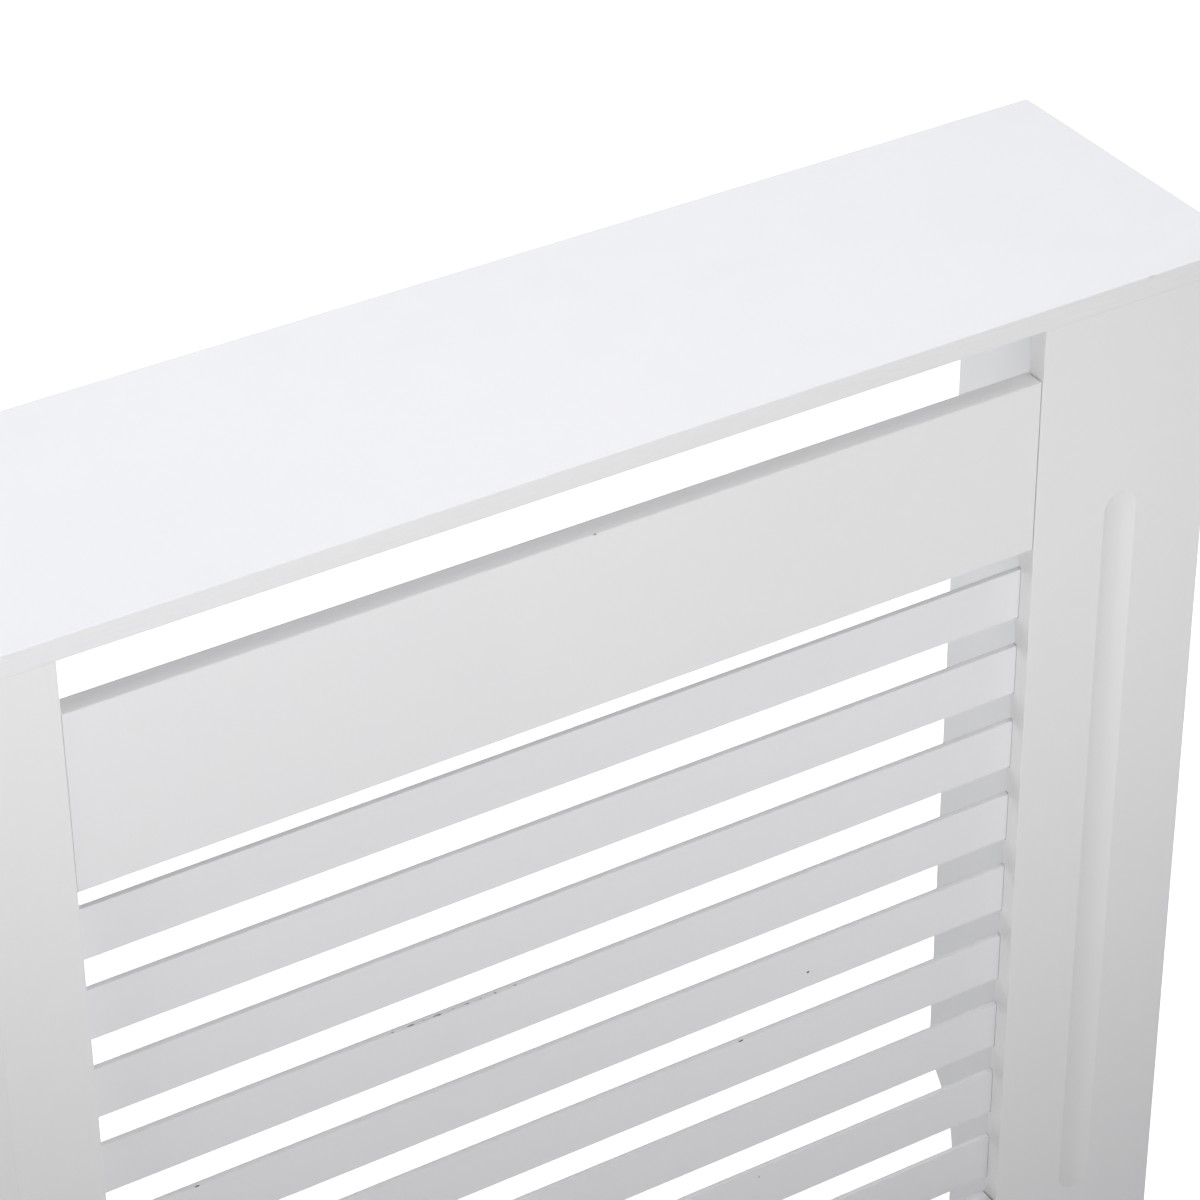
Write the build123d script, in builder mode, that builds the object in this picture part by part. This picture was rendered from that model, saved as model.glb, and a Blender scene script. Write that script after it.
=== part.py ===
from build123d import *
from math import sqrt
import os

# Radiator cover cabinet in painted board, in millimetres.
# +X is to the viewer's right, +Y points back to the wall and +Z is up.
# The origin is on the floor, under the centre of the top board.

# ---- driving dimensions: boards and outline ----
overall_height = 815.0
board = 12.0            # thickness of the top, stiles, header, rail and side panels
opening_width = 542.0   # between the two stiles
stile_width = 110.0
side_inset = 8.0        # from a stile's outer edge in to the outer face of its side panel
top_overhang = 16.5     # of the top board past a stile's outer edge
top_depth = 190.0       # from the front of the stiles to the wall
board_ease = 0.6        # radius on the edges of the boards that show

# ---- driving dimensions: the front, from the top down ----
air_slot = 30.0         # open slot for the warm air, under the top board
header_height = 100.0
header_set_back = 1.0   # of the header's and the rail's face from the front of the stiles
first_gap = 17.0        # from the header to the first slat
slat_count = 9
slat_height = 30.0
slat_gap = 18.0
slat_thickness = 3.0
slat_ease = 0.4
last_gap = 13.0         # from the last slat to the rail
rail_height = 100.0     # under it, what is left of the height is open for the cold air

# ---- driving dimensions: the flute on each stile ----
flute_width = 20.7
flute_depth = 3.5
flute_length = 474.0
flute_drop = 112.5      # from the top of the stile to the upper end of the flute

# ---- driving dimensions: pockets for the slats, in the backs of the stiles ----
pocket_depth = 2.0
pocket_length = 25.0    # from the stile's inner edge
pocket_clearance = 0.3  # past the end of each slat
pocket_slack = 0.7      # over and under the end of each slat

# ---- driving dimensions: skirting cut-out at the back of each side panel ----
notch_depth = 28.0
notch_height = 104.0    # of its straight part, from the floor
notch_radius = 80.0     # of the curve above it

# ---- driving dimensions: loose splines between the stiles and the header or rail ----
joint_gap = 0.4         # at each end of the header and of the rail
spline_thickness = 4.0
spline_width = 20.0     # half of it in the stile
spline_length = 70.0
spline_clearance = 0.1  # round a spline, in its groove
end_clearance = 0.5     # past the end of a spline, dowel, bolt or cam

# ---- driving dimensions: dowels ----
dowel_radius = 3.0
dowel_length = 25.0
dowel_depth = 8.0       # of a dowel in the face of a board
dowel_ease = 0.8
dowel_clearance = 0.15

# ---- driving dimensions: cam fittings ----
bolt_radius = 2.3
bolt_thread_length = 8.5    # of the bolt's end in the face of a board
bolt_neck_radius = 1.2
bolt_neck_length = 3.8
bolt_head_length = 2.6
bolt_head_cone = 1.1    # length of the cone that the cam pulls on
bolt_head_stop = 0.8    # from the end of the head to the centre of the cam
bolt_clearance = 0.2    # round a bolt, in a board or in its cam
cam_radius = 6.0
cam_height = 9.5
cam_wall = 2.0          # round the hollow of a cam
cam_floor = 0.8         # under the hollow
cam_distance = 20.0     # from the joint to the centre of the cam
cam_clearance = 0.15    # round a cam, in its pocket
cam_recess = 7.0        # length of the cross recess in a cam
cam_recess_width = 1.2
cam_recess_depth = 1.6
cam_slot_turn = 120.0   # degrees that the slot for the bolt's neck goes round
cam_slot_lead = 20.0    # degrees of it past the bolt when the cam is locked
cam_entry_turn = 80.0   # degrees of the wide mouth that lets the bolt's head in
side_cam_margin = 60.0  # from the ends of a side panel to its cams
top_fixing_spacing = 100.0  # from a side panel's upper cam to its dowel

# ---- driving dimensions: wall brackets ----
bracket_leg = 30.0
bracket_width = 16.0
bracket_thickness = 2.0
bracket_bend = 3.0      # outer radius of the bend
bracket_corner = 4.0    # radius on the corners of its legs
bracket_spacing = 500.0
bracket_hole_radius = 2.5
bracket_screw_hole_radius = 1.9     # in the upper leg

# ---- values that follow from them ----
stile_height = overall_height - board
header_top = stile_height - air_slot
header_bottom = header_top - header_height
slat_tops = [header_bottom - first_gap - i * (slat_height + slat_gap) for i in range(slat_count)]
rail_top = slat_tops[-1] - slat_height - last_gap
inner_x = opening_width / 2
outer_x = inner_x + stile_width
stile_x = (inner_x + outer_x) / 2
side_x = outer_x - side_inset - board / 2
top_width = 2 * (outer_x + top_overhang)
front_y = -top_depth / 2
back_y = top_depth / 2
stile_back_y = front_y + board
side_mid_y = (stile_back_y + back_y) / 2
header_front_y = front_y + header_set_back
header_mid_y = header_front_y + board / 2
slat_front_y = stile_back_y - pocket_depth
slat_end_x = inner_x + pocket_length - pocket_clearance
header_mid_z = header_top - header_height / 2
rail_mid_z = rail_top - rail_height / 2
dowel_hole_radius = dowel_radius + dowel_clearance
bolt_hole_radius = bolt_radius + bolt_clearance
leg_middle = (bracket_leg + bracket_thickness) / 2     # from the outside of a bracket's bend

LEFT, RIGHT = -1, 1
UP, DOWN = (0, 0, 1), (0, 0, -1)
TO_WALL = (0, 1, 0)


def front_plane(y):
    """Upright plane at y that looks to the front, with X to the right and Z up."""
    return Plane.XZ.offset(-y)


def drill(points, outward, radius, depth):
    """Blind round holes at points on a face that looks outward."""
    with Locations(*[Plane(origin=point, z_dir=outward) for point in points]):
        Hole(radius, depth)


def save(piece, name):
    """Name a finished piece and write it."""
    piece.part.label = name
    export_step(piece.part, f"parts/{name}.step")


# ---- where the fixings go ----
# A plane stands on each fixing of a side panel: its origin is on the face that takes the bolt's thread or
# the dowel's short end, its Z runs along the fixing into the panel, and its X points to the inner face.
def side_joint(side, z):
    return Plane(origin=(side * side_x, stile_back_y, z), x_dir=(-side, 0, 0), z_dir=TO_WALL)


def top_joint(side, y):
    return Plane(origin=(side * side_x, y, stile_height), x_dir=(-side, 0, 0), z_dir=DOWN)


def cam_joints(side):
    """The cam fittings of one side panel: two into the stile and one into the top board."""
    side_zs = (side_cam_margin, stile_height - side_cam_margin)
    return [side_joint(side, z) for z in side_zs], [top_joint(side, side_mid_y - top_fixing_spacing / 2)]


def dowel_joint(side):
    """The dowel between one side panel and the top board."""
    return top_joint(side, side_mid_y + top_fixing_spacing / 2)


# ---- boards ----
def make_top_board():
    with BuildPart() as top:
        with BuildSketch(Plane.XY.offset(stile_height)):
            Rectangle(top_width, top_depth)
        extrude(amount=board)
        fillet(top.edges().group_by(Axis.Z)[-1], board_ease)
        for side in (LEFT, RIGHT):
            in_stile, in_top = cam_joints(side)
            drill([joint.origin for joint in in_top], DOWN, bolt_hole_radius,
                  bolt_thread_length + end_clearance)
            drill([dowel_joint(side).origin], DOWN, dowel_hole_radius, dowel_depth + end_clearance)
    return top


def cut_flute(side):
    """A long cove with ball-shaped ends, as a round-nosed cutter leaves it."""
    radius = (flute_width ** 2 / 4 + flute_depth ** 2) / (2 * flute_depth)
    axis_y = front_y + flute_depth - radius
    upper = stile_height - flute_drop - flute_width / 2
    lower = stile_height - flute_drop - flute_length + flute_width / 2
    with BuildSketch(Plane.YZ.offset(side * stile_x)) as cutter:
        with BuildLine():
            heel = CenterArc((axis_y, lower), radius, -90, 90)
            toe = CenterArc((axis_y, upper), radius, 0, 90)
            Line(heel @ 1, toe @ 0)
            Line(toe @ 1, heel @ 0)
        make_face()
    revolve(cutter.sketch, axis=Axis((side * stile_x, axis_y, 0), UP), mode=Mode.SUBTRACT)


def cut_spline_groove(side, mid_z):
    """Stopped groove for a loose spline, which goes as far into the stile as into the board beside it."""
    with BuildSketch(Plane.YZ.offset(side * inner_x)) as groove:
        with Locations((header_mid_y, mid_z)):
            Rectangle(spline_thickness + 2 * spline_clearance, spline_length + 2 * spline_clearance)
    extrude(groove.sketch, amount=spline_width / 2 + end_clearance, both=True, mode=Mode.SUBTRACT)


def make_stile(side):
    with BuildPart() as stile:
        with BuildSketch(front_plane(front_y)):
            with Locations((side * stile_x, stile_height / 2)):
                Rectangle(stile_width, stile_height)
        extrude(amount=-board)
        face = stile.faces().sort_by(Axis.Y)[0]
        fillet(face.edges().filter_by(Axis.Z), board_ease)
        cut_flute(side)
        pocket_x = side * (inner_x + pocket_length / 2)
        with BuildSketch(front_plane(stile_back_y)):
            with Locations(*[(pocket_x, slat_top - slat_height / 2) for slat_top in slat_tops]):
                Rectangle(pocket_length, slat_height + 2 * pocket_slack)
        extrude(amount=pocket_depth, mode=Mode.SUBTRACT)
        cut_spline_groove(side, header_mid_z)
        cut_spline_groove(side, rail_mid_z)
        in_stile, in_top = cam_joints(side)
        drill([joint.origin for joint in in_stile], TO_WALL, bolt_hole_radius,
              bolt_thread_length + end_clearance)
    return stile


def make_cross_panel(top_z, height):
    """The header or the rail: a board between the stiles, let in a little from the front."""
    with BuildPart() as panel:
        with BuildSketch(front_plane(header_front_y)):
            with Locations((0, top_z - height / 2)):
                Rectangle(opening_width - 2 * joint_gap, height)
        extrude(amount=-board)
        face = panel.faces().sort_by(Axis.Y)[0]
        fillet(face.edges().filter_by(Axis.X), board_ease)
        for side in (LEFT, RIGHT):
            cut_spline_groove(side, top_z - height / 2)
    return panel


def make_slat(top_z):
    with BuildPart() as slat:
        with BuildSketch(front_plane(slat_front_y)):
            with Locations((0, top_z - slat_height / 2)):
                Rectangle(2 * slat_end_x, slat_height)
        extrude(amount=-slat_thickness)
        face = slat.faces().sort_by(Axis.Y)[0]
        fillet(face.edges().filter_by(Axis.X), slat_ease)
    return slat


def cut_cam_seat(joint):
    """Pocket for a cam, and the hole that leads its bolt in from the edge of the board."""
    face_point = joint.origin + joint.z_dir * cam_distance + joint.x_dir * (board / 2)
    drill([face_point], joint.x_dir, cam_radius + cam_clearance, cam_height + end_clearance)
    drill([joint.origin], -joint.z_dir, bolt_hole_radius, cam_distance)


def make_side_panel(side):
    """A side, with the curved cut-out low at the back that clears a skirting board."""
    notch_y = back_y - notch_depth
    curve_top = notch_height + sqrt(notch_radius ** 2 - (notch_radius - notch_depth) ** 2)
    with BuildPart() as panel:
        with BuildSketch(Plane.YZ.offset(side * side_x - board / 2)):
            with BuildLine():
                edge = Polyline((notch_y, notch_height), (notch_y, 0), (stile_back_y, 0),
                                (stile_back_y, stile_height), (back_y, stile_height), (back_y, curve_top))
                TangentArc(edge @ 0, edge @ 1, tangent=(0, 1))
            make_face()
        extrude(amount=board)
        in_stile, in_top = cam_joints(side)
        for joint in in_stile + in_top:
            cut_cam_seat(joint)
        drill([dowel_joint(side).origin], UP, dowel_hole_radius, dowel_length - dowel_depth + end_clearance)
    return panel


# ---- splines and brackets ----
def make_splines(mid_z):
    """The pair of loose splines at the ends of the header or the rail."""
    with BuildPart() as splines:
        with BuildSketch(front_plane(header_mid_y)):
            with Locations((-inner_x, mid_z), (inner_x, mid_z)):
                Rectangle(spline_width, spline_length)
        extrude(amount=spline_thickness / 2, both=True)
    return splines


def make_bracket(side):
    """Bent steel angle under the top board, level with its back edge, to screw to the wall."""
    bracket_x = side * bracket_spacing / 2
    inner_leg = bracket_leg - bracket_thickness
    bend_start = (back_y - bracket_thickness, stile_height - bracket_thickness)
    with BuildPart() as bracket:
        with BuildSketch(Plane.YZ.offset(bracket_x - bracket_width / 2)) as profile:
            with Locations((back_y, stile_height)):
                Rectangle(bracket_leg, bracket_leg, align=(Align.MAX, Align.MAX))
            with Locations(bend_start):
                Rectangle(inner_leg, inner_leg, align=(Align.MAX, Align.MAX), mode=Mode.SUBTRACT)
            fillet(profile.vertices().sort_by_distance((back_y, stile_height))[0], bracket_bend)
            fillet(profile.vertices().sort_by_distance(bend_start)[0], bracket_bend - bracket_thickness)
        extrude(amount=bracket_width)
        leg_ends = (bracket.edges().filter_by(Axis.Z).group_by(Axis.Y)[0]
                    + bracket.edges().filter_by(Axis.Y).group_by(Axis.Z)[0])
        fillet(leg_ends, bracket_corner)
        with Locations((bracket_x, back_y - leg_middle, stile_height)):
            Hole(bracket_screw_hole_radius)
        with Locations(Plane(origin=(bracket_x, back_y, stile_height - leg_middle), z_dir=TO_WALL)):
            Hole(bracket_hole_radius)
    return bracket


# ---- fixings: each is made once, with its joint on the XY plane, and copied to its places ----
def make_dowel():
    """Wooden dowel along Z, with its short end below the joint."""
    with BuildPart() as dowel:
        with BuildSketch(Plane.XY.offset(-dowel_depth)):
            Circle(dowel_radius)
        extrude(amount=dowel_length)
        chamfer(dowel.edges().filter_by(GeomType.CIRCLE), dowel_ease)
    return dowel


def make_cam_bolt():
    """Bolt of a cam fitting: shank through the joint, then a thin neck and a cone-shaped head."""
    head_end = cam_distance - bolt_head_stop
    head_start = head_end - bolt_head_length
    neck_start = head_start - bolt_neck_length
    with BuildPart() as bolt:
        with BuildSketch(Plane.XZ):
            with BuildLine():
                Polyline((0, -bolt_thread_length),
                         (bolt_radius, -bolt_thread_length),
                         (bolt_radius, neck_start),
                         (bolt_neck_radius, neck_start),
                         (bolt_neck_radius, head_start),
                         (bolt_radius, head_start + bolt_head_cone),
                         (bolt_radius, head_end),
                         (0, head_end), close=True)
            make_face()
        revolve(axis=Axis.Z)
    return bolt


def open_cam_rim(start, turn, half_width):
    """Opens a cam from its centre to its rim, over part of a turn."""
    centre = (0, cam_distance)
    with BuildSketch(Plane.YZ) as sector:
        with BuildLine():
            rim = CenterArc(centre, cam_radius + cam_wall, start, turn)
            Line(rim @ 1, centre)
            Line(centre, rim @ 0)
        make_face()
    extrude(sector.sketch, amount=half_width, both=True, mode=Mode.SUBTRACT)


def make_cam():
    """Cam of a cam fitting: a drum with a hollow for the bolt's head and a slot round it for the neck."""
    face_x = board / 2
    hollow_half = cam_height - board / 2 - cam_floor
    slot_start = cam_slot_lead - 90 - cam_slot_turn
    with BuildPart() as cam:
        with BuildSketch(Plane.YZ.offset(face_x)):
            with Locations((0, cam_distance)):
                Circle(cam_radius)
        extrude(amount=-cam_height)
        with BuildSketch(Plane.YZ):
            with Locations((0, cam_distance)):
                Circle(cam_radius - cam_wall)
        extrude(amount=hollow_half, both=True, mode=Mode.SUBTRACT)
        open_cam_rim(slot_start, cam_slot_turn, bolt_neck_radius + bolt_clearance)
        open_cam_rim(slot_start - cam_entry_turn / 2, cam_entry_turn, bolt_hole_radius)
        with BuildSketch(Plane.YZ.offset(face_x)):
            with Locations((0, cam_distance)):
                Rectangle(cam_recess, cam_recess_width)
                Rectangle(cam_recess_width, cam_recess)
        extrude(amount=-cam_recess_depth, mode=Mode.SUBTRACT)
    return cam


def make_group(single, places):
    """Copies of one fixing, one at each plane."""
    with BuildPart() as group:
        with Locations(*places):
            add(single.part)
    return group


# ---- the whole cover ----
os.makedirs("parts", exist_ok=True)

save(make_top_board(), "top_board")
save(make_stile(LEFT), "left_stile")
save(make_stile(RIGHT), "right_stile")
save(make_cross_panel(header_top, header_height), "header_panel")
save(make_cross_panel(rail_top, rail_height), "bottom_rail")
for number, slat_top in enumerate(slat_tops, start=1):
    save(make_slat(slat_top), f"slat_{number}")
save(make_side_panel(LEFT), "left_side_panel")
save(make_side_panel(RIGHT), "right_side_panel")

save(make_splines(header_mid_z), "header_splines")
save(make_splines(rail_mid_z), "rail_splines")
save(make_bracket(LEFT), "left_wall_bracket")
save(make_bracket(RIGHT), "right_wall_bracket")

bolt = make_cam_bolt()
cam = make_cam()
left_in_stile, left_in_top = cam_joints(LEFT)
right_in_stile, right_in_top = cam_joints(RIGHT)
save(make_group(bolt, left_in_stile + right_in_stile), "side_cam_bolts")
save(make_group(cam, left_in_stile + right_in_stile), "side_cams")
save(make_group(bolt, left_in_top + right_in_top), "top_cam_bolts")
save(make_group(cam, left_in_top + right_in_top), "top_cams")
save(make_group(make_dowel(), [dowel_joint(LEFT), dowel_joint(RIGHT)]), "top_dowels")
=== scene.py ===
import math

import bmesh
import bpy
from mathutils import Matrix, Vector


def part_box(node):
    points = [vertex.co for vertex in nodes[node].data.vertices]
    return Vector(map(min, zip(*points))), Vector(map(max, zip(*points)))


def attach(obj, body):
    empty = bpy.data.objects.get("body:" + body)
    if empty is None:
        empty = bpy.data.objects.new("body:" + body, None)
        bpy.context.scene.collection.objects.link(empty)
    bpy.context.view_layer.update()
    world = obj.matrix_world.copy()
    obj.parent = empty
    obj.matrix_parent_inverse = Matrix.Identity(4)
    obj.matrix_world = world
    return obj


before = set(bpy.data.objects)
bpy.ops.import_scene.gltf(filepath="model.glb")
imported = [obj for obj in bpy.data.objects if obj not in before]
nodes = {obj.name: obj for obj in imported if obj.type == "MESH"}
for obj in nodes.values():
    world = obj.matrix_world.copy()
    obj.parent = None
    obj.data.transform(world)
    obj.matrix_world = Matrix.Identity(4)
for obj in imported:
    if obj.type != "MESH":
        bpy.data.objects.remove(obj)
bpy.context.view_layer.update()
scene = bpy.context.scene
scene.view_settings.view_transform = "Standard"
scene.view_settings.look = "None"

# ---------------------------------------------------------------- sizes, in metres
MM = 0.001

SLAT_COUNT = 9
HEADER_LOW = 673.0 * MM
TOP_FRONT = -95.0 * MM
HEADER_FRONT = -94.0 * MM
SLAT_FRONT = -85.0 * MM
WORN_EDGE = SLAT_FRONT + 0.5 * MM

STAPLE_CROWN = 7.0 * MM
STAPLE_WIRE = 1.1 * MM
STAPLE_LEG = 2.2 * MM
STAPLE_BEND = 0.7 * MM
STAPLE_INSET = 13.0 * MM
STAPLE_PROUD = STAPLE_WIRE * 0.35
BEND_STEPS = 4
WIRE_SIDES = 8

SCREW_HEAD_RADIUS = 3.4 * MM
SCREW_HEAD_HEIGHT = 2.1 * MM
SCREW_HEAD_CURVE = (70, 60, 48, 36, 24, 12, 0)  # degrees round the head, from its flat end to its rim
SCREW_SHANK_RADIUS = 1.6 * MM
SCREW_SHANK_LENGTH = 9.0 * MM
SCREW_SIDES = 32
RECESS_ARM = SCREW_HEAD_RADIUS * 0.55
RECESS_HALF_WIDTH = SCREW_HEAD_RADIUS * 0.15
RECESS_DEPTH = 1.1 * MM
BRACKET_THICKNESS = 2.0 * MM
BRACKET_HOLE_INSET = 14.0 * MM

# Chips in the paint: their place on the object, half length, half height and strength.
SLAT_CHIPS = (
    ((143.8 * MM, SLAT_FRONT, 444.5 * MM), 1.1 * MM, 0.80 * MM, 0.95),
    ((-218.5 * MM, SLAT_FRONT, 463.9 * MM), 1.4 * MM, 0.55 * MM, 0.95),
    ((-106.0 * MM, WORN_EDGE, 512.0 * MM), 0.9 * MM, 0.45 * MM, 0.65),
    ((-95.6 * MM, WORN_EDGE, 512.0 * MM), 2.4 * MM, 0.55 * MM, 0.75),
    ((-88.3 * MM, WORN_EDGE, 512.0 * MM), 1.0 * MM, 0.40 * MM, 0.40),
    ((-80.6 * MM, WORN_EDGE, 512.0 * MM), 2.9 * MM, 0.50 * MM, 0.75),
    ((-71.3 * MM, WORN_EDGE, 512.0 * MM), 0.8 * MM, 0.35 * MM, 0.40),
    ((-63.4 * MM, WORN_EDGE, 512.0 * MM), 1.1 * MM, 0.45 * MM, 0.75),
    ((-55.5 * MM, WORN_EDGE, 512.0 * MM), 0.7 * MM, 0.35 * MM, 0.40),
    ((-47.0 * MM, WORN_EDGE, 512.0 * MM), 0.7 * MM, 0.45 * MM, 0.70),
    ((-35.6 * MM, WORN_EDGE, 512.0 * MM), 1.1 * MM, 0.50 * MM, 0.60),
    ((-72.0 * MM, SLAT_FRONT, 511.7 * MM), 44.0 * MM, 0.90 * MM, 0.10),
    ((101.7 * MM, SLAT_FRONT, 415.7 * MM), 1.6 * MM, 0.55 * MM, 0.95),
    ((114.7 * MM, SLAT_FRONT, 314.3 * MM), 0.6 * MM, 0.50 * MM, 0.70),
)
HEADER_CHIPS = (((8.6 * MM, HEADER_FRONT, 772.8 * MM), 1.2 * MM, 0.70 * MM, 0.60),)
TOP_CHIPS = (((335.8 * MM, TOP_FRONT, 814.4 * MM), 2.2 * MM, 0.90 * MM, 0.12),)

# ---------------------------------------------------------------- camera
CAMERA_PLACE = (-0.88154, -1.56314, 1.88361)
CAMERA_AZIMUTH = 31.28
CAMERA_ELEVATION = -33.76
CAMERA_ROLL = -0.50
CAMERA_LENS = 129.464
CAMERA_SENSOR = 36.0
CAMERA_REACH = (0.01, 100.0)


def aim_camera():
    data = bpy.data.cameras.new("camera")
    data.lens = CAMERA_LENS
    data.sensor_width = CAMERA_SENSOR
    data.clip_start, data.clip_end = CAMERA_REACH
    camera = bpy.data.objects.new("camera", data)
    camera.location = CAMERA_PLACE
    turn = (
        Matrix.Rotation(math.radians(-CAMERA_AZIMUTH), 4, "Z")
        @ Matrix.Rotation(math.radians(90 + CAMERA_ELEVATION), 4, "X")
        @ Matrix.Rotation(math.radians(CAMERA_ROLL), 4, "Z")
    )
    camera.rotation_mode = "QUATERNION"
    camera.rotation_quaternion = turn.to_quaternion()
    scene.collection.objects.link(camera)
    scene.camera = camera


# ---------------------------------------------------------------- node trees
def colour(rgb, tint=(1.0, 1.0, 1.0), lift=1.0):
    return tuple(value * lift * shift for value, shift in zip(rgb, tint)) + (1.0,)


class Tree:
    """A material's node tree, with short ways to add and join nodes."""

    def __init__(self, name):
        self.material = bpy.data.materials.new(name)
        self.material.use_nodes = True
        self.tree = self.material.node_tree
        self.tree.nodes.clear()
        self.output = self.add("ShaderNodeOutputMaterial")

    def add(self, kind, inputs=(), **settings):
        node = self.tree.nodes.new(kind)
        for key, value in settings.items():
            setattr(node, key, value)
        for key, value in dict(inputs).items():
            self.put(value, node.inputs[key])
        return node

    def put(self, value, socket):
        if isinstance(value, bpy.types.NodeSocket):
            self.tree.links.new(value, socket)
        else:
            socket.default_value = value

    def place(self):
        return self.add("ShaderNodeTexCoord").outputs["Object"]

    def stretch(self, vector, scale):
        return self.add("ShaderNodeMapping", {"Vector": vector, "Scale": scale}).outputs["Vector"]

    def noise(self, vector, scale, detail=2.0, rough=0.5, out="Fac"):
        return self.add(
            "ShaderNodeTexNoise",
            {"Vector": vector, "Scale": scale, "Detail": detail, "Roughness": rough},
        ).outputs[out]

    def span(self, value, low=0.3, high=0.7, to_low=0.0, to_high=1.0):
        """A smooth step from `to_low` to `to_high`, by default over the middle of a noise."""
        return self.add(
            "ShaderNodeMapRange",
            {0: value, 1: low, 2: high, 3: to_low, 4: to_high},
            interpolation_type="SMOOTHSTEP",
            clamp=True,
        ).outputs["Result"]

    def math(self, operation, a, b=0.5):
        return self.add("ShaderNodeMath", {0: a, 1: b}, operation=operation).outputs["Value"]

    def vector(self, operation, a, b=(0, 0, 0), out="Vector"):
        return self.add(
            "ShaderNodeVectorMath", {0: a, 1: b}, operation=operation
        ).outputs[out]

    def smoothed(self, radius):
        """The normal with its corners rounded by `radius`."""
        return self.add("ShaderNodeBevel", {"Radius": radius}, samples=4).outputs["Normal"]

    def blend(self, amount, a, b):
        node = self.add("ShaderNodeMix", data_type="RGBA")
        self.put(amount, node.inputs[0])
        self.put(a, node.inputs[6])
        self.put(b, node.inputs[7])
        return node.outputs[2]

    def bump(self, height, distance, normal=None):
        inputs = {"Height": height, "Distance": distance}
        if normal is not None:
            inputs["Normal"] = normal
        return self.add("ShaderNodeBump", inputs).outputs["Normal"]

    def shader(self, **inputs):
        node = self.add("ShaderNodeBsdfPrincipled")
        for key, value in inputs.items():
            self.put(value, node.inputs[key.replace("_", " ")])
        return node.outputs[0]

    def close(self, surface):
        """Joins `surface` to the output, and gives the finished material."""
        self.put(surface, self.output.inputs["Surface"])
        return self.material


# ---------------------------------------------------------------- paint
FACE_DULL = (0.828, 0.829, 0.832)
FACE_BRIGHT = (0.846, 0.846, 0.846)
FACE_PATCH = (0.843, 0.838, 0.836)
FACE_STIPPLE = (0.830, 0.832, 0.838)
EDGE_DULL = (0.822, 0.818, 0.808)
EDGE_BRIGHT = (0.852, 0.850, 0.842)
# Thinner paint along the sharp corners, and painted shade there.
ARRIS_WEAR_AND_SHADE_COLOUR = (0.62, 0.61, 0.60)
RUBBED_COLOUR = (0.60, 0.56, 0.49)
CHIPPED_COLOUR = (0.20, 0.16, 0.115)
SPECK_COLOUR = (0.30, 0.27, 0.24)
# Painted shade for the hairline crevices between boards.
CREVICE_SHADE_COLOUR = (0.30, 0.285, 0.265)
BARE_COLOUR = (0.075, 0.06, 0.05)

# How strongly each of them covers the paint, where it lies.
STIPPLE_SHARE = 0.5
RUBBED_SHARE = 0.30
CHIPPED_SHARE = 0.85
SPECK_SHARE = 0.55

# Scales of the patterns: repeats in a metre.
CLOUD_SCALE = 6.0
PATCH_SCALE = 45.0
STIPPLE_SCALE = 1300.0
PEEL_SCALE = 420.0
FIBRE_ALONG, FIBRE_ACROSS = 90.0, 1500.0
RUB_SCALE = 160.0
CHIP_SCALE = 95.0
SPECK_SCALE = 26.0
RAG_SCALE = 900.0

# Depths and reaches on the surface.
PEEL_DEPTH = 0.06 * MM
STIPPLE_DEPTH = 0.012 * MM
FIBRE_DEPTH = 0.06 * MM
CHIP_DEPTH = 0.1 * MM
ARRIS_RADIUS = 1.2 * MM
# The ambient occlusion's reach for the painted crevice shade, and how it fades out below the header.
CREVICE_SHADE_REACH = 1.8 * MM
CREVICE_SHADE_FADE = 1.5 * MM
RAG_REACH = 1.1 * MM

# Where each smooth step begins and ends, on the value that it is taken of.
EDGE_STEP = (0.55, 0.9)
PATCH_STEP = (0.35, 0.7)
ARRIS_STEP = (0.004, 0.12)
RUB_STEP = (0.45, 0.78)
CHIP_STEP = (0.725, 0.75)
SPECK_STEP = (0.008, 0.018)
SPECK_CELLS = (0.955, 0.96)
CREVICE_SHADE_STEP = (0.50, 0.80)
HOLE_STEP = (0.6, 1.15)
GLOSS_STEP = (0.2, 0.8)

PAINT_ROUGHNESS = (0.36, 0.47)
EDGE_ROUGHER = 0.10
RUB_ROUGHER = 0.12
PAINT_IOR = 1.46


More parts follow.
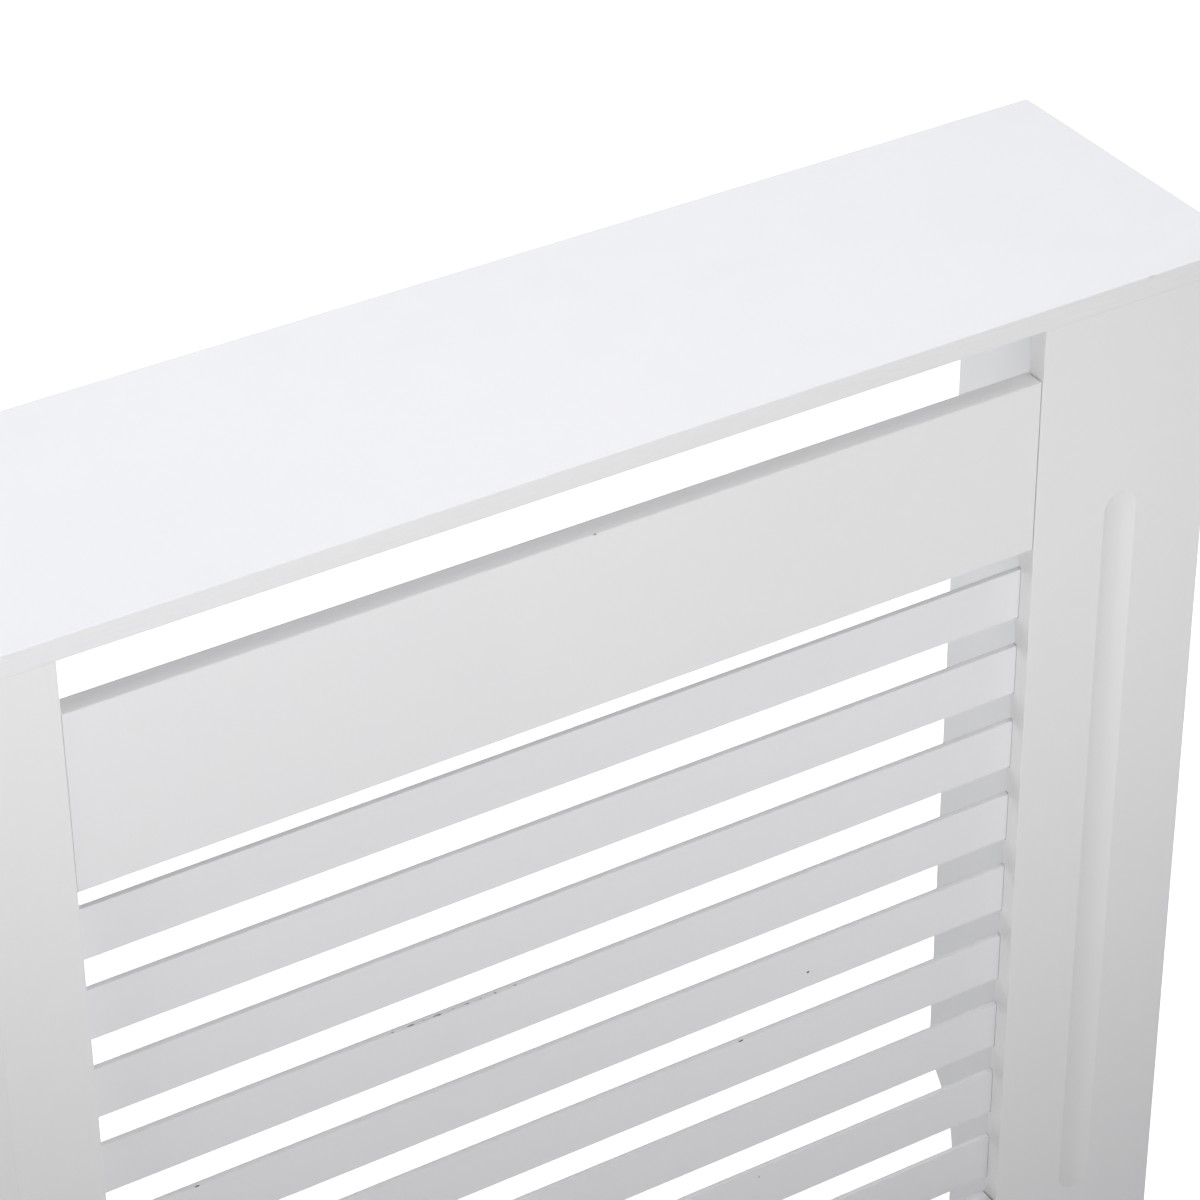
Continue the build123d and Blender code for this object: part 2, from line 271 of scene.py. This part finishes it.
def paint(name, across, along, tint=(1.0, 1.0, 1.0), edge_painted_light=1.0, crevice_shade=0.0, arris_wear_and_shade=0.22, marks=()):
    """Satin white paint on fibreboard: smooth on the broad faces, whose normal is the axis `across`,
    and a little rougher and faintly fibrous on the cut edges, whose fibre runs along `along`.
    `edge_painted_light` brightens those edges as painted light, `crevice_shade` paints shade into the
    hairline where boards meet, `arris_wear_and_shade` darkens the sharp corners with thinner paint
    and painted shade, and `marks` are single chips."""
    t = Tree(name)
    place = t.place()
    normal = t.add("ShaderNodeNewGeometry").outputs["Normal"]
    facing = t.math("ABSOLUTE", t.vector("DOT_PRODUCT", normal, across, out="Value"))
    edge = t.span(facing, *EDGE_STEP, 1.0, 0.0)

    clouds = t.noise(place, CLOUD_SCALE, 3.0)
    patches = t.noise(place, PATCH_SCALE, 4.0, 0.6)
    stipple = t.noise(place, STIPPLE_SCALE)
    peel = t.noise(place, PEEL_SCALE, 2.0, 0.45)
    run = tuple(FIBRE_ALONG if axis else FIBRE_ACROSS for axis in along)
    fibre = t.noise(t.stretch(place, run), 1.0, 5.0, 0.65)

    face = t.blend(t.span(clouds), colour(FACE_DULL, tint), colour(FACE_BRIGHT, tint))
    face = t.blend(t.span(patches, *PATCH_STEP), face, colour(FACE_PATCH, tint))
    face = t.blend(t.span(stipple, to_high=STIPPLE_SHARE), face, colour(FACE_STIPPLE, tint))
    # Painted light: the cut edges' colour is lifted above the paint's own, so that they look more brightly
    # lit.
    core = t.blend(
        t.span(fibre), colour(EDGE_DULL, tint, edge_painted_light), colour(EDGE_BRIGHT, tint, edge_painted_light)
    )
    body = t.blend(edge, face, core)

    # Paint is thinnest on the arrises, and rubbed and chipped there; the dark line along them is partly
    # thinner paint and partly painted shade.
    bend = t.math("SUBTRACT", 1.0, t.vector("DOT_PRODUCT", t.smoothed(ARRIS_RADIUS), normal, out="Value"))
    arris = t.span(bend, *ARRIS_STEP)
    body = t.blend(t.math("MULTIPLY", arris, arris_wear_and_shade), body, colour(ARRIS_WEAR_AND_SHADE_COLOUR))
    rub = t.math("MULTIPLY", arris, t.span(t.noise(place, RUB_SCALE, 4.0, 0.7), *RUB_STEP))
    body = t.blend(t.math("MULTIPLY", rub, RUBBED_SHARE), body, colour(RUBBED_COLOUR))
    chip = t.math("MULTIPLY", arris, t.span(t.noise(place, CHIP_SCALE, 5.0, 0.75), *CHIP_STEP))
    body = t.blend(t.math("MULTIPLY", chip, CHIPPED_SHARE), body, colour(CHIPPED_COLOUR))

    # A few specks lie under the paint, each in a cell of its own.
    cell = t.add("ShaderNodeTexVoronoi", {"Vector": place, "Scale": SPECK_SCALE})
    pick = t.add("ShaderNodeSeparateColor", {"Color": cell.outputs["Color"]}).outputs["Red"]
    dot = t.span(cell.outputs["Distance"], *SPECK_STEP, 1.0, 0.0)
    speck = t.math("MULTIPLY", dot, t.span(pick, *SPECK_CELLS))
    body = t.blend(t.math("MULTIPLY", speck, SPECK_SHARE), body, colour(SPECK_COLOUR))

    # Painted shade: ambient occlusion darkens the hairline crevices where a slat meets the stile; beside
    # the header no shade is painted.
    if crevice_shade:
        crevice_occlusion = t.add("ShaderNodeAmbientOcclusion", {"Distance": CREVICE_SHADE_REACH}, samples=8).outputs["AO"]
        painted_crevice_shade = t.span(crevice_occlusion, *CREVICE_SHADE_STEP, 1.0, 0.0)
        height = t.add("ShaderNodeSeparateXYZ", {"Vector": place}).outputs["Z"]
        below_header = t.span(height, HEADER_LOW - CREVICE_SHADE_FADE, HEADER_LOW, crevice_shade, 0.0)
        body = t.blend(t.math("MULTIPLY", painted_crevice_shade, below_header), body, colour(CREVICE_SHADE_COLOUR))

    # Single chips go down to the brown board. Their outline is ragged.
    if marks:
        rag = t.noise(place, RAG_SCALE, out="Color")
        ragged = t.vector("ADD", place, t.vector("MULTIPLY", rag, (RAG_REACH, RAG_REACH, RAG_REACH)))
        for spot, half_length, half_height, strength in marks:
            middle = tuple(value + RAG_REACH / 2 for value in spot)
            away = t.vector("SUBTRACT", ragged, middle)
            away = t.vector("MULTIPLY", away, (1 / half_length, 1 / half_height, 1 / half_height))
            reach = t.vector("LENGTH", away, out="Value")
            hole = t.math("MULTIPLY", t.span(reach, *HOLE_STEP, 1.0, 0.0), strength)
            body = t.blend(hole, body, colour(BARE_COLOUR))

    rough = t.span(patches, *GLOSS_STEP, *PAINT_ROUGHNESS)
    rough = t.math("ADD", rough, t.math("MULTIPLY", edge, EDGE_ROUGHER))
    rough = t.math("ADD", rough, t.math("MULTIPLY", rub, RUB_ROUGHER))
    relief = t.bump(peel, PEEL_DEPTH)
    relief = t.bump(stipple, STIPPLE_DEPTH, relief)
    relief = t.bump(t.math("MULTIPLY", fibre, edge), FIBRE_DEPTH, relief)
    relief = t.bump(t.math("ADD", speck, t.math("MULTIPLY", chip, -1.0)), CHIP_DEPTH, relief)
    return t.close(t.shader(Base_Color=body, Roughness=rough, Normal=relief, IOR=PAINT_IOR))


# ---------------------------------------------------------------- other materials
def bare_board():
    """Raw fibreboard, as the splines show it."""
    t = Tree("bare_fibreboard")
    place = t.place()
    fibre = t.noise(t.stretch(place, (260.0, 900.0, 900.0)), 1.0, 6.0, 0.7)
    grain = t.noise(place, 700.0, 3.0)
    dark, pale, fluff = (0.36, 0.25, 0.155), (0.56, 0.43, 0.29), (0.68, 0.56, 0.41)
    body = t.blend(t.span(fibre, 0.25, 0.75), colour(dark), colour(pale))
    body = t.blend(t.span(grain, 0.6, 0.8, 0.0, 0.5), body, colour(fluff))
    relief = t.bump(fibre, 0.2 * MM)
    relief = t.bump(grain, 0.1 * MM, relief)
    rough = t.span(grain, *GLOSS_STEP, 0.78, 0.95)
    return t.close(t.shader(Base_Color=body, Roughness=rough, Normal=relief))


def beech():
    """Fluted beech dowel, with its flecks along the grain."""
    t = Tree("beech_dowel")
    place = t.place()
    grain = t.noise(t.stretch(place, (1.0, 1.0, 0.10)), 900.0, 4.0, 0.6)
    fleck = t.noise(t.stretch(place, (1.0, 1.0, 0.22)), 2200.0)
    late, early, ray = (0.52, 0.36, 0.21), (0.70, 0.53, 0.34), (0.40, 0.25, 0.13)
    body = t.blend(t.span(grain), colour(late), colour(early))
    body = t.blend(t.span(fleck, 0.62, 0.72, 0.0, 0.6), body, colour(ray))
    rough = t.span(grain, *GLOSS_STEP, 0.5, 0.68)
    return t.close(t.shader(Base_Color=body, Roughness=rough, Normal=t.bump(grain, 0.12 * MM)))


def zinc_plate():
    """Bright zinc plate: fine rolling marks, slightly blue, duller where it is handled."""
    t = Tree("zinc_plated_steel")
    place = t.place()
    lines = t.noise(t.stretch(place, (60.0, 2600.0, 2600.0)), 1.0, 4.0, 0.6)
    bloom = t.noise(place, 120.0, 4.0, 0.6)
    blue, bright, scored = (0.60, 0.62, 0.65), (0.76, 0.77, 0.77), (0.50, 0.51, 0.53)
    body = t.blend(t.span(bloom), colour(blue), colour(bright))
    body = t.blend(t.span(lines, 0.55, 0.8, 0.0, 0.4), body, colour(scored))
    relief = t.bump(lines, 0.03 * MM, t.smoothed(0.5 * MM))
    rough = t.math("ADD", t.span(bloom, *GLOSS_STEP, 0.22, 0.38), t.span(lines, 0.3, 0.8, 0.0, 0.1))
    return t.close(t.shader(Base_Color=body, Metallic=1.0, Roughness=rough, Normal=relief))


def cast_metal():
    """Die-cast zinc: grey, matt and slightly pitted."""
    t = Tree("cast_zinc")
    place = t.place()
    skin = t.noise(place, 600.0, 5.0, 0.7)
    cloud = t.noise(place, 150.0, 3.0)
    dull, bright, pitted = (0.42, 0.43, 0.44), (0.57, 0.57, 0.58), (0.25, 0.25, 0.26)
    body = t.blend(t.span(cloud), colour(dull), colour(bright))
    pit = t.span(skin, 0.28, 0.4, 1.0, 0.0)
    body = t.blend(t.math("MULTIPLY", pit, 0.5), body, colour(pitted))
    rough = t.span(skin, *GLOSS_STEP, 0.45, 0.62)
    relief = t.bump(skin, 0.12 * MM)
    return t.close(t.shader(Base_Color=body, Metallic=0.9, Roughness=rough, Normal=relief))


def dress(names, material):
    """Gives every material slot of the named nodes this material."""
    for name in names:
        data = nodes[name].data
        if not data.materials:
            data.materials.append(material)
        for index in range(len(data.materials)):
            data.materials[index] = material


# ---------------------------------------------------------------- fasteners
def piece(name, mesh, material):
    """A smooth-shaded piece of the scene's own, which rides on the one body."""
    data = bpy.data.meshes.new(name)
    mesh.to_mesh(data)
    mesh.free()
    for face in data.polygons:
        face.use_smooth = True
    data.materials.append(material)
    made = bpy.data.objects.new(name, data)
    scene.collection.objects.link(made)
    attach(made, "root")
    return made


def ring(mesh, centre, turn, radius, height, sides):
    """Points round a circle about the turned z axis, `height` up it from `centre`."""
    points = []
    for k in range(sides):
        a = 2 * math.pi * k / sides
        spoke = Vector((radius * math.cos(a), radius * math.sin(a), height))
        points.append(mesh.verts.new(centre + turn @ spoke))
    return points


def skin_over(mesh, rings):
    """Joins the rings in their order and closes both ends."""
    sides = len(rings[0])
    for a, b in zip(rings, rings[1:]):
        for k in range(sides):
            j = (k + 1) % sides
            mesh.faces.new((a[k], a[j], b[j], b[k]))
    mesh.faces.new(list(reversed(rings[0])))
    mesh.faces.new(rings[-1])


def sweep(mesh, path, radius):
    """A round wire along `path`, with flat ends."""
    rings = []
    for i, point in enumerate(path):
        ahead = path[min(i + 1, len(path) - 1)] - path[max(i - 1, 0)]
        turn = ahead.to_track_quat("Z", "Y").to_matrix()
        rings.append(ring(mesh, point, turn, radius, 0, WIRE_SIDES))
    skin_over(mesh, rings)


def lathe(mesh, profile, centre):
    """Turns (radius, height) pairs round the vertical line through `centre`."""
    unturned = Matrix.Identity(3)
    rings = [ring(mesh, centre, unturned, radius, height, SCREW_SIDES) for radius, height in profile]
    skin_over(mesh, rings)


def staple_path(middle):
    """The centre line of one staple: its crown lies on the slat's back and its legs point to the front."""
    half = STAPLE_CROWN / 2
    left, right = [], []
    for step in range(BEND_STEPS + 1):
        a = math.radians(90 * step / BEND_STEPS)
        reach = half - STAPLE_BEND + STAPLE_BEND * math.cos(a)
        rise = -STAPLE_BEND + STAPLE_BEND * math.sin(a)
        left.append(middle + Vector((-reach, rise, 0)))
        right.append(middle + Vector((reach, rise, 0)))
    foot = Vector((0, -STAPLE_LEG, 0))
    return [left[0] + foot] + left + list(reversed(right)) + [right[0] + foot]


def make_staples(hand, side, material):
    """One staple through each slat's end on one side of the cover (side -1 is the left)."""
    mesh = bmesh.new()
    for i in range(1, SLAT_COUNT + 1):
        low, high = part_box(f"slat_{i}")
        end = high.x if side > 0 else low.x
        middle = Vector((end - side * STAPLE_INSET, high.y + STAPLE_PROUD, (low.z + high.z) / 2))
        sweep(mesh, staple_path(middle), STAPLE_WIRE / 2)
    mesh.normal_update()
    return piece(f"{hand}_slat_staples", mesh, material)


def make_recess_tool(head_end):
    """A cross of two bars, which cuts the screw's recess."""
    mesh = bmesh.new()
    for a, b in ((RECESS_ARM, RECESS_HALF_WIDTH), (RECESS_HALF_WIDTH, RECESS_ARM)):
        size = Matrix.Diagonal((2 * a, 2 * b, 2 * RECESS_DEPTH, 1))
        bmesh.ops.create_cube(mesh, size=1.0, matrix=Matrix.Translation(head_end) @ size)
    data = bpy.data.meshes.new("recess")
    mesh.to_mesh(data)
    mesh.free()
    tool = bpy.data.objects.new("recess", data)
    scene.collection.objects.link(tool)
    return tool


def make_bracket_screw(hand, material):
    """A pan-head cross-recess screw through the bracket's upper leg into the top board."""
    low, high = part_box(f"{hand}_wall_bracket")
    under_leg = high.z - BRACKET_THICKNESS
    centre = Vector(((low.x + high.x) / 2, low.y + BRACKET_HOLE_INSET, under_leg))
    profile = [
        (SCREW_HEAD_RADIUS * math.cos(a), -SCREW_HEAD_HEIGHT * math.sin(a))
        for a in (math.radians(degrees) for degrees in SCREW_HEAD_CURVE)
    ]
    profile += [(SCREW_SHANK_RADIUS, 0.0), (SCREW_SHANK_RADIUS, SCREW_SHANK_LENGTH)]
    mesh = bmesh.new()
    lathe(mesh, profile, centre)
    mesh.normal_update()
    made = piece(f"{hand}_bracket_screw", mesh, material)

    tool = make_recess_tool(centre + Vector((0, 0, -SCREW_HEAD_HEIGHT)))
    cut = made.modifiers.new("recess", "BOOLEAN")
    cut.operation, cut.object, cut.solver = "DIFFERENCE", tool, "EXACT"
    cut.use_self = True
    graph = bpy.context.evaluated_depsgraph_get()
    carved = bpy.data.meshes.new_from_object(made.evaluated_get(graph))
    made.modifiers.clear()
    made.data = carved
    bpy.data.objects.remove(tool)
    return made


# ---------------------------------------------------------------- floor and light
FLOOR_SIZE = 24.0
FLOOR_CELLS = 8
FLOOR_DULL = (0.86, 0.86, 0.86)
FLOOR_BRIGHT = (0.89, 0.89, 0.89)
FLOOR_ROUGHNESS = 0.8
FLOOR_LIFT = 0.72
FLOOR_BOUNCE = (0.15, 0.15, 0.15)
SKY_TINT = (0.987, 0.989, 1.023)
SKY_STRENGTH = 0.03
SKY_LIFT = 0.76
WHITE = (1.0, 1.0, 1.0)

# The lights over the floor face up, since the white floor lights the object from below as much as
# the overhead lights do from above. GLOW_HEIGHT keeps them just clear of the floor.
GLOW_HEIGHT = 0.5 * MM

# Area lights: name, place, the point they face, width and height, watts and tint.
AREA_LIGHTS = (
    ("floor_glow", (0.0, 0.0, GLOW_HEIGHT), (0.0, 0.0, 1.0), (10.0, 10.0), 198.0, (0.986, 0.988, 1.024)),
    ("floor_front", (0.0, -2.2, GLOW_HEIGHT), (0.0, -2.2, 1.0), (4.0, 2.4), 6.3, WHITE),
    ("overhead_left", (-0.6, 0.4, 3.0), (-0.1, 0.2, 0.0), (2.4, 2.4), 36.2, (0.983, 0.993, 1.025)),
    ("overhead_right", (0.6, 0.4, 3.0), (0.2, 0.2, 0.0), (2.4, 2.4), 27.4, (0.993, 0.995, 1.012)),
    ("overhead_front", (0.3, -1.65, 2.85), (0.1, -0.1, 0.6), (2.0, 1.2), 19.0, (1.018, 1.000, 0.982)),
    ("right_fill", (3.0, 0.3, 0.45), (0.37, 0.0, 0.4), (1.2, 0.6), 15.0, WHITE),
    ("back_fill", (1.2, 3.0, 0.35), (0.0, 0.0, 0.45), (1.6, 0.5), 12.0, WHITE),
)

# Spots, with a fully soft rim: name, place, the point they face, cone in degrees, radius of the
# source, watts and tint. The front ones share one low place.
LOW_FRONT = (-0.15, -3.6, 0.25)
SPOTS = (
    ("front_left_pool", LOW_FRONT, (-0.35, -0.095, 0.98), 16.0, 0.30, 159.0, (0.990, 1.001, 1.009)),
    ("front_middle_pool", LOW_FRONT, (0.15, -0.095, 0.78), 16.0, 0.30, 11.0, WHITE),
    ("front_right_pool", LOW_FRONT, (0.35, -0.095, 0.62), 16.0, 0.30, 83.5, (1.039, 0.996, 0.967)),
    ("front_wide_pool", LOW_FRONT, (0.0, -0.095, 0.87), 24.0, 0.30, 97.0, (1.013, 1.002, 0.987)),
    ("window_pool", (-2.8, -0.8, 1.0), (0.27, -0.09, 0.68), 18.0, 0.50, 93.6, WHITE),
    ("side_pool", (-3.0, 0.48, 1.1), (0.36, 0.05, 0.68), 16.0, 0.30, 173.6, (0.989, 1.005, 1.005)),
)


def make_floor():
    """A pale studio floor. Seen straight on it is lifted towards white, as an overexposed sweep is.
    To other rays it is dark paper, because the lights over the floor stand for what it sends back."""
    mesh = bmesh.new()
    bmesh.ops.create_grid(mesh, x_segments=FLOOR_CELLS, y_segments=FLOOR_CELLS, size=FLOOR_SIZE / 2)
    data = bpy.data.meshes.new("floor")
    mesh.to_mesh(data)
    mesh.free()
    t = Tree("studio_floor")
    cloud = t.noise(t.place(), 1.3, 3.0)
    bright = t.shader(
        Base_Color=t.blend(t.span(cloud), colour(FLOOR_DULL), colour(FLOOR_BRIGHT)),
        Roughness=FLOOR_ROUGHNESS, Emission_Color=colour(WHITE), Emission_Strength=FLOOR_LIFT,
    )
    paper = t.add("ShaderNodeBsdfDiffuse", {"Color": colour(FLOOR_BOUNCE)}).outputs[0]
    seen = t.add("ShaderNodeLightPath").outputs["Is Camera Ray"]
    mix = t.add("ShaderNodeMixShader", {0: seen, 1: paper, 2: bright})
    data.materials.append(t.close(mix.outputs[0]))
    floor = bpy.data.objects.new("floor", data)
    scene.collection.objects.link(floor)


def add_light(data, place, target, power, tint):
    data.energy = power
    data.color = tint
    light = bpy.data.objects.new(data.name, data)
    light.location = place
    light.rotation_mode = "QUATERNION"
    light.rotation_quaternion = (Vector(target) - Vector(place)).to_track_quat("-Z", "Y")
    light.visible_camera = False
    scene.collection.objects.link(light)


def light_the_sky():
    """Almost no light of its own, but pale grey where the camera sees it."""
    world = bpy.data.worlds.new("world")
    world.use_nodes = True
    tree = world.node_tree
    sky = tree.nodes["Background"]
    sky.inputs["Color"].default_value = colour(SKY_TINT)
    sky.inputs["Strength"].default_value = SKY_STRENGTH
    seen_sky = tree.nodes.new("ShaderNodeBackground")
    seen_sky.inputs["Color"].default_value = colour(WHITE)
    seen_sky.inputs["Strength"].default_value = SKY_LIFT
    mix = tree.nodes.new("ShaderNodeMixShader")
    path = tree.nodes.new("ShaderNodeLightPath")
    tree.links.new(path.outputs["Is Camera Ray"], mix.inputs[0])
    tree.links.new(sky.outputs[0], mix.inputs[1])
    tree.links.new(seen_sky.outputs[0], mix.inputs[2])
    tree.links.new(mix.outputs[0], tree.nodes["World Output"].inputs["Surface"])
    scene.world = world


def light_the_room():
    light_the_sky()
    for name, place, target, size, power, tint in AREA_LIGHTS:
        data = bpy.data.lights.new(name, "AREA")
        data.shape = "RECTANGLE"
        data.size, data.size_y = size
        add_light(data, place, target, power, tint)
    for name, place, target, cone, radius, power, tint in SPOTS:
        data = bpy.data.lights.new(name, "SPOT")
        data.spot_size, data.spot_blend = math.radians(cone), 1.0
        data.shadow_soft_size = radius
        add_light(data, place, target, power, tint)


# ---------------------------------------------------------------- the dressed part
aim_camera()

# Each board's broad face looks along one axis, and the fibre of its edges runs along another.
X, Y, Z = (1, 0, 0), (0, 1, 0), (0, 0, 1)
dress(["top_board"], paint("painted_top", Z, X, tint=(0.992, 0.997, 1.015), marks=TOP_CHIPS))
dress(["left_stile", "right_stile"], paint("painted_stile", Y, Z, edge_painted_light=1.09, crevice_shade=0.75))
dress(
    ["header_panel", "bottom_rail"],
    paint("painted_panel", Y, X, tint=(0.996, 0.999, 1.006), marks=HEADER_CHIPS),
)
dress(
    [f"slat_{i}" for i in range(1, SLAT_COUNT + 1)],
    paint(
        "painted_slat", Y, X,
        tint=(0.994, 1.0, 1.018), edge_painted_light=1.10, arris_wear_and_shade=0.25, marks=SLAT_CHIPS,
    ),
)
dress(["left_side_panel", "right_side_panel"], paint("painted_side", X, Z))
plate = zinc_plate()
dress(["left_wall_bracket", "right_wall_bracket", "side_cam_bolts", "top_cam_bolts"], plate)
dress(["side_cams", "top_cams"], cast_metal())
dress(["header_splines", "rail_splines"], bare_board())
dress(["top_dowels"], beech())

for hand, side in (("left", -1), ("right", 1)):
    make_staples(hand, side, plate)
    make_bracket_screw(hand, plate)

make_floor()
light_the_room()

bpy.context.view_layer.update()
